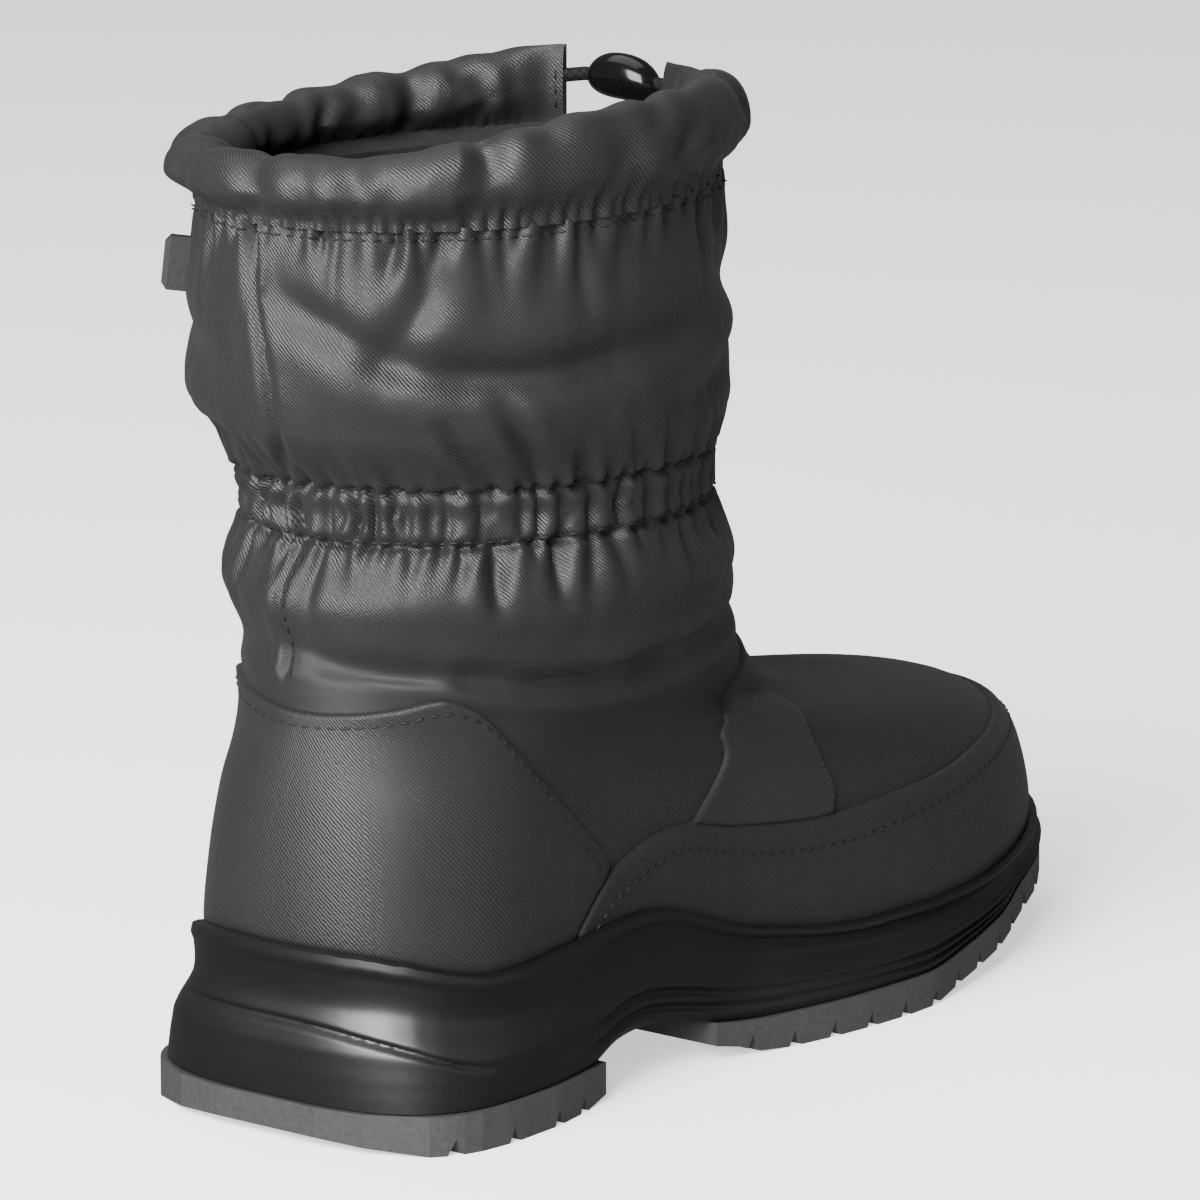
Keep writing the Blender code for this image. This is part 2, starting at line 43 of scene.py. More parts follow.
# The last and shaft: the same sections as the part, in millimetres
boot = {
    "length": 278.0,
    "heelCentre": 40.0,
    "toeSwing": 8.0,
    "swingFrom": 0.48,
    "innerSlack": 0.07,
    "slackTop": 7.0,  # level where the foot's slack ends
    "slackFade": 3.0,
    "slackFrom": 0.3,  # share of the length where it starts
    "girthAt": (0.15, 0.45, 0.72),  # shares of the length that heel, middle and ball stand for
    "girthSpread": 0.3,
    "wall": 2.6,
    "seamTurn": -0.012,
    "topLevel": 15.0,
}
sectionColumns = (
    "back", "backUp", "front", "frontUp", "dip",
    "heel", "middle", "ball", "roundBack", "roundFront", "fullness",
)
sections = (
    (10.0, 30.0, 262.0, 24.0, 12.0, 36.5, 34.0, 45.0, 0.14, 0.34, 2.35),
    (7.0, 42.0, 264.0, 33.0, 4.0, 39.0, 36.5, 46.5, 0.14, 0.34, 2.35),
    (8.0, 58.0, 259.0, 50.0, 1.0, 38.5, 37.0, 45.5, 0.15, 0.35, 2.3),
    (10.0, 72.0, 246.0, 61.0, 0.0, 37.5, 36.5, 41.0, 0.16, 0.38, 2.2),
    (12.0, 82.0, 216.0, 67.5, 0.0, 37.0, 36.0, 35.0, 0.20, 0.43, 2.1),
    (13.5, 92.0, 182.0, 72.0, 0.0, 38.5, 37.5, 31.0, 0.26, 0.47, 2.0),
    (13.0, 100.0, 158.0, 82.0, 0.0, 42.0, 42.0, 37.0, 0.36, 0.49, 2.0),
    (14.0, 106.0, 146.0, 98.0, 0.0, 45.0, 46.0, 44.5, 0.46, 0.50, 2.0),
    (10.7, 117.0, 139.0, 117.0, 0.0, 51.0, 51.6, 51.0, 0.50, 0.50, 2.0),
    (16.0, 129.0, 133.0, 130.0, 0.0, 48.0, 48.0, 48.0, 0.50, 0.50, 2.0),
    (17.7, 136.5, 131.7, 136.5, 0.0, 46.8, 46.8, 46.8, 0.50, 0.50, 2.0),
    (15.0, 144.0, 132.5, 144.0, 0.0, 49.0, 49.0, 49.0, 0.50, 0.50, 2.0),
    (5.0, 156.0, 134.5, 156.0, 0.0, 54.0, 54.0, 54.0, 0.50, 0.50, 2.0),
    (2.6, 168.0, 134.6, 168.0, 0.0, 55.0, 55.0, 55.0, 0.50, 0.50, 2.0),
    (3.0, 184.0, 134.0, 184.5, 0.5, 54.0, 54.0, 54.0, 0.50, 0.50, 2.0),
    (6.0, 201.5, 131.0, 204.0, 0.5, 51.5, 51.5, 51.5, 0.50, 0.50, 2.0),
)
rim = {
    "along": (0.0, 7.0, 32.0, 81.0, 127.0, 160.0, 179.0, 206.0, 237.0, 264.0, 278.0),
    "up": (43.0, 42.5, 36.3, 39.5, 26.8, 22.3, 22.8, 24.0, 27.6, 31.0, 32.0),
    "lip": 1.6,
}
sole = {
    "share": (0.0, 0.14, 0.30, 0.55, 0.63, 0.70, 0.78, 0.85, 1.0),
    "outer": (45.0, 46.0, 40.0, 52.0, 53.6, 50.8, 48.0, 44.2, 44.0),
    "inner": (45.0, 46.0, 39.0, 44.5, 45.5, 44.5, 42.0, 40.0, 38.0),
    "underAlong": (0.0, 62.0, 75.0, 83.0, 99.0, 112.0, 124.0, 172.0, 217.0, 278.0),
    "underUp": (9.3, 9.3, 12.4, 13.0, 11.0, 9.0, 8.3, 8.3, 13.0, 21.5),
}
panels = {
    "counterAlong": (13.0, 20.0, 27.0, 50.0, 74.0),
    "counterUp": (93.0, 95.0, 97.0, 76.0, 53.0),
    "randAlong": (58.0, 75.0, 96.0, 122.0, 148.0, 182.0, 211.0, 240.0, 262.0),
    "randUp": (38.0, 51.6, 56.4, 51.8, 49.4, 52.0, 54.8, 57.0, 58.0),
    "bandTurn": (0.211, 0.228, 0.250, 0.268, 0.276, 0.304, 0.321, 0.360, 0.408, 0.500),
    "bandFront": (0.0, 0.0, 0.0, 0.0, 3.05, 4.00, 4.40, 5.05, 5.60, 5.90),
    "bandRear": (2.05, 2.73, 3.90, 4.40, 4.60, 5.15, 5.45, 5.95, 6.40, 6.85),
}


def smoothStep(low, high, x):
    t = np.clip((np.asarray(x, float) - low) / (high - low), 0, 1)
    return t * t * (3 - 2 * t)


def smooth(stations, values, at):
    x = np.asarray(stations, float)
    y = np.asarray(values, float)
    step = np.diff(x)
    slope = np.diff(y) / step
    tangent = np.zeros(len(x))
    same = slope[:-1] * slope[1:] > 0
    safe = np.where(same, slope[:-1] + slope[1:], 1.0)
    tangent[1:-1] = np.where(same, 2 * slope[:-1] * slope[1:] / safe, 0)
    tangent[0] = slope[0]
    tangent[-1] = slope[-1]
    at = np.clip(np.asarray(at, float), x[0], x[-1])
    i = np.clip(np.searchsorted(x, at) - 1, 0, len(step) - 1)
    t = (at - x[i]) / step[i]
    rise = (1 + 2 * t) * (1 - t) ** 2 * y[i] + t * (1 - t) ** 2 * step[i] * tangent[i]
    return rise + t * t * (3 - 2 * t) * y[i + 1] + t * t * (t - 1) * step[i] * tangent[i + 1]


def rounding(share, length, power):
    left = np.clip((length - share) / length, 0, 1)
    return (1 - left**power) ** (1 / power)


def swing(along):
    start = boot["swingFrom"]
    forward = np.clip((along - start * boot["length"]) / ((1 - start) * boot["length"]), 0, 1)
    return boot["toeSwing"] * forward**2


def wayRound(turn):
    turn = np.asarray(turn, float) % 1.0
    return (1 - np.cos(2 * np.pi * turn)) / 2, np.where(turn <= 0.5, -1.0, 1.0)


def girthWeights(share):
    weights = [np.clip(1 - abs(share - at) / boot["girthSpread"], 0, 1) for at in boot["girthAt"]]
    weights[0] = np.where(share < boot["girthAt"][0], 1, weights[0])
    weights[2] = np.where(share > boot["girthAt"][2], 1, weights[2])
    return [w * w * (3 - 2 * w) for w in weights]


# A point of the upper's outside: turn runs round from the back by the outer side, level from sole to collar
def bootPoint(turn, level):
    b = boot
    turn, level = np.broadcast_arrays(np.asarray(turn, float), np.asarray(level, float))
    columns = (smooth(range(len(sections)), c, level) for c in zip(*sections))
    row = dict(zip(sectionColumns, columns))
    share, side = wayRound(turn)
    along = row["back"] + (row["front"] - row["back"]) * share
    heel, middle, ball = girthWeights(share)
    half = (heel * row["heel"] + middle * row["middle"] + ball * row["ball"]) / (heel + middle + ball)
    half = half * rounding(share, row["roundBack"], row["fullness"])
    half = half * rounding(1 - share, row["roundFront"], row["fullness"])
    foot = np.clip((b["slackTop"] - level) / b["slackFade"], 0, 1)
    foot = foot * np.clip((share - b["slackFrom"]) / b["slackFrom"], 0, 1)
    half = half * (1 + b["innerSlack"] * foot * np.where(side < 0, 0.5, -1.0))
    up = row["backUp"] + (row["frontUp"] - row["backUp"]) * share
    up = up - row["dip"] * np.sin(np.pi * share)
    return np.stack([along, side * half + swing(along), up], -1)


def bootNormal(turn, level):
    turn, level = np.broadcast_arrays(np.asarray(turn, float), np.asarray(level, float))
    step = 2e-3
    tangent = bootPoint(turn + step, level) - bootPoint(turn - step, level)
    rise = bootPoint(turn, level + step) - bootPoint(turn, level - step)
    normal = np.cross(tangent, rise)
    return normal / np.linalg.norm(normal, axis=-1, keepdims=True)


def toMetres(points):
    return (np.asarray(points, float) - np.array((boot["heelCentre"], 0.0, 0.0))) * mm


# Four waves round the boot whose paces and phases don't fall together
def wobble(turn, frequency, seed):
    value = 0
    for k in range(4):
        pace = round(frequency * (0.62 + 0.31 * k))
        value = value + np.sin(2 * np.pi * (pace * turn + 0.37 * k + 0.71 * seed)) / (1 + 0.6 * k)
    return value / 2.2


# Folds of the padded shaft: degrees round from the back on the outer side,
# height, the width and depth of the crease, and how far its middle sags
foldColumns = ("fromTurn", "fromUp", "toTurn", "toUp", "width", "depth", "bow")
folds = (
    (2.0, 187.0, 31.0, 173.0, 4.2, 2.3, 0.0),  # high puff, outer side
    (29.0, 173.0, 78.0, 171.0, 4.2, 3.4, 2.5),
    (74.0, 171.0, 106.0, 175.0, 5.0, 2.6, 0.0),
    (30.0, 174.0, 39.0, 189.0, 3.4, 1.5, 0.0),
    (41.0, 159.0, 46.0, 147.0, 1.9, 1.7, 0.0),
    (53.5, 162.5, 60.5, 147.0, 2.3, 2.2, 0.0),
    (96.0, 157.0, 140.0, 168.0, 5.0, 2.2, 3.0),
    (118.0, 184.0, 168.0, 176.0, 5.5, 2.2, 3.0),
    (48.0, 132.0, 50.5, 117.0, 2.0, 2.2, 0.0),  # low puff, outer side
    (63.0, 131.0, 65.0, 118.0, 2.0, 1.9, 0.0),
    (8.0, 103.5, 48.0, 101.0, 2.8, 1.9, 0.0),
    (44.0, 101.0, 92.0, 98.0, 3.0, 2.8, 2.0),
    (86.0, 99.0, 150.0, 103.0, 3.4, 2.8, 2.0),
    (82.0, 113.0, 140.0, 110.0, 4.5, 2.0, 3.0),
    (318.0, 153.0, 340.0, 150.0, 4.0, 2.2, 0.0),  # inner side
    (200.0, 172.0, 262.0, 168.0, 5.5, 2.8, 4.0),
    (258.0, 168.0, 300.0, 180.0, 4.5, 2.2, 0.0),
    (230.0, 156.0, 290.0, 161.0, 5.0, 2.0, 3.0),
    (298.0, 178.0, 338.0, 170.0, 5.0, 1.8, 2.0),
    (205.0, 111.0, 260.0, 107.0, 4.5, 2.2, 3.0),
    (255.0, 119.0, 320.0, 112.0, 5.0, 1.8, 3.0),
    (215.0, 101.0, 300.0, 101.0, 3.2, 2.6, 2.0),
)
gathers = {
    "girth": 345.0,
    "seamUp": 201.0,
    "seamRise": 2.5,  # how much higher the collar seam is at the front
    "bandTop": 141.8,
    "bandLow": 131.2,
    "underCollar": (152.0, 170.0),  # heights where each row of gathers fades in or out
    "overBand": (140.0, 143.0),
    "overBandEnd": (190.0, 172.0),
    "underBand": (133.0, 130.0),
    "most": 3.6,
}
puffPleats = {"count": 80, "depth": 1.75, "width": 1.35, "reach": (4.0, 17.0), "lean": 0.36}
waistBand = {
    "middle": 136.5,
    "foot": (130.0, 132.0),
    "head": (143.0, 141.0),
    "lift": 0.8,
    "notchUp": (130.8, 142.2),
    "notchDepth": 1.5,
    "notchWidth": 1.2,
}
waistPleats = {"count": 74, "depth": 1.35, "width": 1.15, "reach": (14.0, 14.0), "lean": 0.7}
# The back seam wanders: degrees from the back at each height
backSeam = {
    "up": (88.0, 118.0, 131.0, 142.0, 157.0, 168.0, 185.0, 204.0),
    "turn": (-5.5, -4.5, -2.0, -4.5, 1.5, 1.0, -3.0, -5.0),
    "depth": 1.2,
    "width": 1.4,
    "swell": 0.5,
    "swellAt": 3.2,
    "swellWidth": 2.2,
}
# Lowest level that the puffs reach, above the panels of the foot
puffFoot = {
    "turn": (0.0, 0.08, 0.13, 0.21, 0.268, 0.304, 0.36, 0.408, 0.5),
    "level": (5.75, 5.75, 5.3, 4.9, 5.0, 5.4, 6.1, 6.55, 7.0),
    "fade": 0.8,
    "seamFade": 0.5,
}
# Section of a crease: a trough with a swell beside it, in widths of the trough
creaseForm = {"swellAt": 2.1, "pleatSwell": 1.4, "foldSwell": 1.3, "pleatRise": 0.5, "foldRise": 0.45}
pleatOpening = 28.0  # a pleat is twice as wide this far from its seam


# A fixed number from 0 to 1 for each pleat
def chance(k, seed):
    return (math.sin(12.9898 * k + 78.233 * seed) * 43758.5453) % 1.0


def mirrorTurn(turns):
    return np.where(turns % 1.0 > 0.5, 1 - turns % 1.0, turns % 1.0)


def bell(x):
    return np.exp(-(x**2))


def pleats(turn, away, count, depth, width, reach, lean, seed):
    form = creaseForm
    turn = np.asarray(turn, float) % 1.0
    total = 0 * turn
    for k in range(count):
        at = (k + 0.8 * (chance(k, seed) - 0.5)) / count
        length = reach[0] + (reach[1] - reach[0]) * chance(k, seed + 1) ** 2
        slant = lean * (chance(k, seed + 2) - 0.5) * away / gathers["girth"]
        gap = ((turn - at - slant + 0.5) % 1.0 - 0.5) * gathers["girth"]
        fade = bell(away / length)
        spread = width * (0.8 + 0.5 * chance(k, seed + 3)) * (1 + away / pleatOpening)
        crease = bell(gap / spread)
        swell = bell((np.abs(gap) - form["swellAt"] * spread) / (form["pleatSwell"] * spread))
        deep = depth * (0.4 + 0.8 * chance(k, seed + 4))
        total = total + deep * fade * (form["pleatRise"] * swell - crease)
    return total


def foldDepth(turn, up):
    angle = (np.asarray(turn, float) % 1.0) * 360
    form = creaseForm
    sag = 0 * angle
    for row in folds:
        f = dict(zip(foldColumns, row))
        scale = gathers["girth"] / 360
        ax, ay = f["fromTurn"] * scale, f["fromUp"]
        bx, by = f["toTurn"] * scale, f["toUp"]
        px, py = angle * scale - ax, up - ay
        dx, dy = bx - ax, by - ay
        t = np.clip((px * dx + py * dy) / (dx * dx + dy * dy), 0, 1)
        gap = np.hypot(px - t * dx, py - t * dy + f["bow"] * np.sin(np.pi * t))
        fade = np.sin(np.pi * np.clip(0.08 + 0.84 * t, 0, 1)) ** 0.7
        crease = bell(gap / f["width"])
        swell = bell((gap - form["swellAt"] * f["width"]) / (form["foldSwell"] * f["width"]))
        sag = sag + f["depth"] * fade * (form["foldRise"] * swell - crease)
    return sag


def seamTurnAt(up):
    return smooth(backSeam["up"], backSeam["turn"], up) / 360


def puffGathers(turn, up):
    g = gathers
    share, _ = wayRound(turn)
    below = np.clip(g["seamUp"] + g["seamRise"] * share - up, 0, None)
    over = np.clip(up - g["bandTop"], 0, None)
    under = np.clip(g["bandLow"] - up, 0, None)
    high = smoothStep(*g["underCollar"], up) * pleats(turn, below, seed=1, **puffPleats)
    middle = smoothStep(*g["overBand"], up) * smoothStep(*g["overBandEnd"], up)
    low = smoothStep(*g["underBand"], up) * pleats(turn, under, seed=21, **puffPleats)
    return high, middle * pleats(turn, over, seed=11, **puffPleats), low


def waistRuck(turn, up):
    w = waistBand
    inBand = smoothStep(*w["foot"], up) * smoothStep(*w["head"], up)
    ruck = pleats(turn, abs(up - w["middle"]), seed=31, **waistPleats)
    notch = sum(bell((up - at) / w["notchWidth"]) for at in w["notchUp"])
    return inBand * (ruck + w["lift"]) - w["notchDepth"] * notch


# How far the padded cloth stands out from the plain shaft
def shaftField(turn, level):
    turn, level = np.broadcast_arrays(np.asarray(turn, float), np.asarray(level, float))
    b = backSeam
    up = bootPoint(turn, level)[..., 2]
    aboveFoot = level - smooth(puffFoot["turn"], puffFoot["level"], mirrorTurn(turn))
    puff = smoothStep(0.0, puffFoot["fade"], aboveFoot)
    high, middle, low = puffGathers(turn, up)
    out = (foldDepth(turn, up) + low) * puff + high + middle + waistRuck(turn, up)
    out = np.clip(out, -gathers["most"], gathers["most"])
    gap = ((turn - seamTurnAt(up) + 0.5) % 1.0 - 0.5) * gathers["girth"]
    pull = b["swell"] * bell((abs(gap) - b["swellAt"]) / b["swellWidth"])
    pull = pull - b["depth"] * bell(gap / b["width"])
    return out + pull * smoothStep(0.0, puffFoot["seamFade"], aboveFoot)


def shaftPoint(turn, level, out=0.0):
    base = bootPoint(turn, level)
    return base + bootNormal(turn, level) * (shaftField(turn, level) + out)[..., None]


# A grid bent to the given points; the first and last columns or rows are welded where they meet
def solid(name, points, uv=None, close=False):
    rows, columns = points.shape[:2]
    form = bmesh.new()
    bmesh.ops.create_grid(form, x_segments=columns - 1, y_segments=rows - 1, size=1)
    form.verts.ensure_lookup_table()
    layer = form.loops.layers.uv.new("cloth")
    placed = toMetres(points)
    where = {}
    for vert in form.verts:
        j = round((vert.co.x + 1) / 2 * (columns - 1))
        i = round((vert.co.y + 1) / 2 * (rows - 1))
        where[vert.index] = (i, j)
        vert.co = placed[i, j]
    if uv is not None:
        for face in form.faces:
            for loop in face.loops:
                i, j = where[loop.vert.index]
                loop[layer].uv = uv[i, j]
    if close:
        bmesh.ops.remove_doubles(form, verts=form.verts, dist=1e-6)
    return keep(name, form)


def keep(name, form, smoothAngle=50):
    mesh = bpy.data.meshes.new(name)
    form.to_mesh(mesh)
    form.free()
    mesh.shade_smooth()
    mesh.set_sharp_from_angle(angle=math.radians(smoothAngle))
    item = bpy.data.objects.new(name, mesh)
    bpy.context.scene.collection.objects.link(item)
    return item


def dress(item, material, slot, *nodes):
    item.data.materials.clear()
    item.data.materials.append(material)
    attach(item, "root")
    if nodes:
        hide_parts(*nodes)
    return item


def finishNode(name, material, edge):
    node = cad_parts[name]
    node.data.materials.clear()
    node.data.materials.append(material)
    bevel = node.modifiers.new("edge", "BEVEL")
    bevel.width = edge
    bevel.segments = 2
    bevel.limit_method = "ANGLE"


def lengths(points):
    u = np.zeros(points.shape[:2])
    v = np.zeros(points.shape[:2])
    around = np.linalg.norm(np.diff(points, axis=1), axis=-1).mean(0)
    u[:, 1:] = np.cumsum(around)
    v[1:] = np.cumsum(np.linalg.norm(np.diff(points, axis=0), axis=-1).mean(1))[:, None]
    return np.stack([u, v], -1) * mm


# Materials: the twill's rib pitch and height in metres, and the tones between which each finish varies
clothSettings = {
    "satinTwill": {
        "dark": (0.0047, 0.0048, 0.0049), "light": (0.0140, 0.0142, 0.0143), "pitch": 0.00095, "cloud": 0.35,
        "roughness": 0.46, "sheen": 0.015, "sheenRoughness": 0.45, "shine": 0.26,
        "ribDepth": 0.38, "ribHigh": 0.00012,
    },
    "matteTwill": {
        "dark": (0.0062, 0.0062, 0.0061), "light": (0.0125, 0.0125, 0.0123), "pitch": 0.00095, "cloud": 0.35,
        "roughness": 0.62, "sheen": 0.03, "sheenRoughness": 0.45, "shine": 0.26,
        "ribDepth": 0.4, "ribHigh": 0.00012,
    },
}
speckSettings = {
    "blackRubber": {
        "dark": (0.0022, 0.0022, 0.0022), "light": (0.0036, 0.0036, 0.0036),
        "roughness": 0.42, "spread": 0.03, "scale": 700, "depth": 0.05, "shine": 0.5,
    },
    "greyRubber": {
        "dark": (0.019, 0.019, 0.020), "light": (0.036, 0.036, 0.038), "roughness": 0.6, "spread": 0.12,
        "scale": 900, "depth": 0.3, "shine": 0.28,
    },
    "tabRubber": {
        "dark": (0.007, 0.007, 0.0072), "light": (0.013, 0.013, 0.0134), "roughness": 0.6, "spread": 0.12,
        "scale": 900, "depth": 0.3, "shine": 0.28,
    },
    "fleece": {
        "dark": (0.004, 0.004, 0.004), "light": (0.014, 0.014, 0.014), "roughness": 0.95, "spread": 0.04,
        "scale": 500, "depth": 1.0, "shine": 0.28,
    },
    "feltBed": {
        "dark": (0.008, 0.008, 0.008), "light": (0.016, 0.016, 0.016), "roughness": 0.9, "spread": 0.05,
        "scale": 900, "depth": 0.8, "shine": 0.28,
    },
    "glossPlastic": {
        "dark": (0.002, 0.002, 0.002), "light": (0.004, 0.004, 0.004), "roughness": 0.16, "spread": 0.05,
        "scale": 900, "depth": 0.02, "shine": 0.28,
    },
    "thread": {
        "dark": (0.004, 0.004, 0.004), "light": (0.010, 0.010, 0.010), "roughness": 0.6, "spread": 0.12,
        "scale": 3000, "depth": 0.3, "shine": 0.28,
    },
}


def nodeTree(name):
    material = bpy.data.materials.new(name)
    material.use_nodes = True
    tree = material.node_tree
    return material, tree, tree.nodes["Principled BSDF"]


def link(tree, a, b):
    tree.links.new(a, b)


twillSettings = {"jitterScale": 900, "jitter": 0.8, "cloudScale": 60}


def makeTwill():
    s = twillSettings
    group = bpy.data.node_groups.new("twill", "ShaderNodeTree")
    group.interface.new_socket("Pitch", in_out="INPUT", socket_type="NodeSocketFloat")
    group.interface.new_socket("Rib", in_out="OUTPUT", socket_type="NodeSocketFloat")
    group.interface.new_socket("Cloud", in_out="OUTPUT", socket_type="NodeSocketFloat")
    nodes = group.nodes
    entry = nodes.new("NodeGroupInput")
    leave = nodes.new("NodeGroupOutput")
    uv = nodes.new("ShaderNodeUVMap")
    uv.uv_map = "cloth"
    split = nodes.new("ShaderNodeSeparateXYZ")
    link(group, uv.outputs["UV"], split.inputs[0])
    add = nodes.new("ShaderNodeMath")
    add.operation = "ADD"
    link(group, split.outputs["X"], add.inputs[0])
    link(group, split.outputs["Y"], add.inputs[1])
    divide = nodes.new("ShaderNodeMath")
    divide.operation = "DIVIDE"
    link(group, add.outputs[0], divide.inputs[0])
    link(group, entry.outputs["Pitch"], divide.inputs[1])
    fine = nodes.new("ShaderNodeTexNoise")
    fine.inputs["Scale"].default_value = s["jitterScale"]
    link(group, uv.outputs["UV"], fine.inputs["Vector"])
    jitter = nodes.new("ShaderNodeMath")
    jitter.operation = "MULTIPLY_ADD"
    link(group, fine.outputs["Fac"], jitter.inputs[0])
    jitter.inputs[1].default_value = s["jitter"]
    link(group, divide.outputs[0], jitter.inputs[2])
    turn = nodes.new("ShaderNodeMath")
    turn.operation = "MULTIPLY"
    turn.inputs[1].default_value = 2 * math.pi
    link(group, jitter.outputs[0], turn.inputs[0])
    wave = nodes.new("ShaderNodeMath")
    wave.operation = "SINE"
    link(group, turn.outputs[0], wave.inputs[0])
    link(group, wave.outputs[0], leave.inputs["Rib"])
    cloud = nodes.new("ShaderNodeTexNoise")
    cloud.inputs["Scale"].default_value = s["cloudScale"]
    link(group, uv.outputs["UV"], cloud.inputs["Vector"])
    link(group, cloud.outputs["Fac"], leave.inputs["Cloud"])
    return group


def makeCloth(name, twill):
    s = clothSettings[name]
    material, tree, shader = nodeTree(name)
    weave = tree.nodes.new("ShaderNodeGroup")
    weave.node_tree = twill
    weave.inputs["Pitch"].default_value = s["pitch"]
    ribTone = tree.nodes.new("ShaderNodeMapRange")
    ribTone.inputs["From Min"].default_value = -1
    link(tree, weave.outputs["Rib"], ribTone.inputs["Value"])
    blend = tree.nodes.new("ShaderNodeMath")
    blend.operation = "MULTIPLY_ADD"
    link(tree, weave.outputs["Cloud"], blend.inputs[0])
    blend.inputs[1].default_value = s["cloud"]
    link(tree, ribTone.outputs[0], blend.inputs[2])
    colour = tree.nodes.new("ShaderNodeMix")
    colour.data_type = "RGBA"
    colour.inputs["A"].default_value = (*s["dark"], 1)
    colour.inputs["B"].default_value = (*s["light"], 1)
    link(tree, blend.outputs[0], colour.inputs["Factor"])
    link(tree, colour.outputs["Result"], shader.inputs["Base Color"])
    bump = tree.nodes.new("ShaderNodeBump")
    bump.inputs["Strength"].default_value = s["ribDepth"]
    bump.inputs["Distance"].default_value = s["ribHigh"]
    link(tree, weave.outputs["Rib"], bump.inputs["Height"])
    link(tree, bump.outputs["Normal"], shader.inputs["Normal"])
    shader.inputs["Roughness"].default_value = s["roughness"]
    shader.inputs["Sheen Weight"].default_value = s["sheen"]
    shader.inputs["Sheen Roughness"].default_value = s["sheenRoughness"]
    shader.inputs["Specular IOR Level"].default_value = s["shine"]
    return material


grainSettings = {"detail": 6, "high": 0.0003}


def makeSpeckled(name):
    s = speckSettings[name]
    material, tree, shader = nodeTree(name)
    place = tree.nodes.new("ShaderNodeTexCoord")
    grain = tree.nodes.new("ShaderNodeTexNoise")
    grain.inputs["Scale"].default_value = s["scale"]
    grain.inputs["Detail"].default_value = grainSettings["detail"]
    link(tree, place.outputs["Object"], grain.inputs["Vector"])
    colour = tree.nodes.new("ShaderNodeMix")
    colour.data_type = "RGBA"
    colour.inputs["A"].default_value = (*s["dark"], 1)
    colour.inputs["B"].default_value = (*s["light"], 1)
    link(tree, grain.outputs["Fac"], colour.inputs["Factor"])
    link(tree, colour.outputs["Result"], shader.inputs["Base Color"])
    gloss = tree.nodes.new("ShaderNodeMapRange")
    gloss.inputs["To Min"].default_value = s["roughness"] - s["spread"]
    gloss.inputs["To Max"].default_value = s["roughness"] + s["spread"]
    link(tree, grain.outputs["Fac"], gloss.inputs["Value"])
    link(tree, gloss.outputs[0], shader.inputs["Roughness"])
    shader.inputs["Specular IOR Level"].default_value = s["shine"]
    bump = tree.nodes.new("ShaderNodeBump")
    bump.inputs["Strength"].default_value = s["depth"]
    bump.inputs["Distance"].default_value = grainSettings["high"]
    link(tree, grain.outputs["Fac"], bump.inputs["Height"])
    link(tree, bump.outputs["Normal"], shader.inputs["Normal"])
    return material


braidSettings = {
    "scale": 900, "light": (0.008, 0.008, 0.008), "dark": (0.003, 0.003, 0.003),
    "depth": 0.5, "high": 0.0003, "roughness": 0.8, "shine": 0.15,
}


def makeBraid(name):
    s = braidSettings
    material, tree, shader = nodeTree(name)
    uv = tree.nodes.new("ShaderNodeUVMap")
    uv.uv_map = "cloth"
    weave = tree.nodes.new("ShaderNodeTexChecker")
    weave.inputs["Scale"].default_value = s["scale"]
    weave.inputs["Color1"].default_value = (*s["light"], 1)
    weave.inputs["Color2"].default_value = (*s["dark"], 1)
    link(tree, uv.outputs["UV"], weave.inputs["Vector"])
    link(tree, weave.outputs["Color"], shader.inputs["Base Color"])
    bump = tree.nodes.new("ShaderNodeBump")
    bump.inputs["Strength"].default_value = s["depth"]
    bump.inputs["Distance"].default_value = s["high"]
    link(tree, weave.outputs["Fac"], bump.inputs["Height"])
    link(tree, bump.outputs["Normal"], shader.inputs["Normal"])
    shader.inputs["Roughness"].default_value = s["roughness"]
    shader.inputs["Specular IOR Level"].default_value = s["shine"]
    return material


twill = makeTwill()
satin = makeCloth("satinTwill", twill)
matte = makeCloth("matteTwill", twill)
blackRubber = makeSpeckled("blackRubber")
greyRubber = makeSpeckled("greyRubber")
tabRubber = makeSpeckled("tabRubber")
fleece = makeSpeckled("fleece")
feltBed = makeSpeckled("feltBed")
gloss = makeSpeckled("glossPlastic")
thread = makeSpeckled("thread")
braid = makeBraid("braidedCord")
print("materials made")


# Camera and light
cameraSettings = {
    "yaw": 51.65, "rise": 12.5, "away": 1.7, "target": (0.0784, 0.0, 0.0994),
    "lens": 224.0, "sensor": 36.0, "clip": 20.0,
}


def makeCamera():
    c = cameraSettings
    yaw, rise = math.radians(c["yaw"]), math.radians(c["rise"])
    back = Vector((-math.sin(yaw) * math.cos(rise), -math.cos(yaw) * math.cos(rise), math.sin(rise)))
    data = bpy.data.cameras.new("camera")
    data.sensor_width = c["sensor"]
    data.lens = c["lens"]
    data.clip_end = c["clip"]
    item = bpy.data.objects.new("camera", data)
    item.location = Vector(c["target"]) + back * c["away"]
    item.rotation_euler = (-back).to_track_quat("-Z", "Y").to_euler()
    bpy.context.scene.collection.objects.link(item)
    bpy.context.scene.camera = item


lights = {
    "key": {"at": (-1.35, -0.3, 0.93), "size": 1.05, "power": 128.0, "tone": (1.0, 0.98, 0.95)},
    "fill": {"at": (0.4, -1.5, 0.7), "size": 1.2, "power": 2.5, "tone": (1.0, 1.0, 1.0)},
    "top": {"at": (0.1, 0.3, 1.6), "size": 1.3, "power": 14.0, "tone": (1.0, 1.0, 1.0)},
}
stageSettings = {
    "aim": (0.06, 0.0, 0.1), "world": 0.18,
    "floor": 6.0, "paint": 0.95, "rough": 0.8, "glow": 0.9,
}


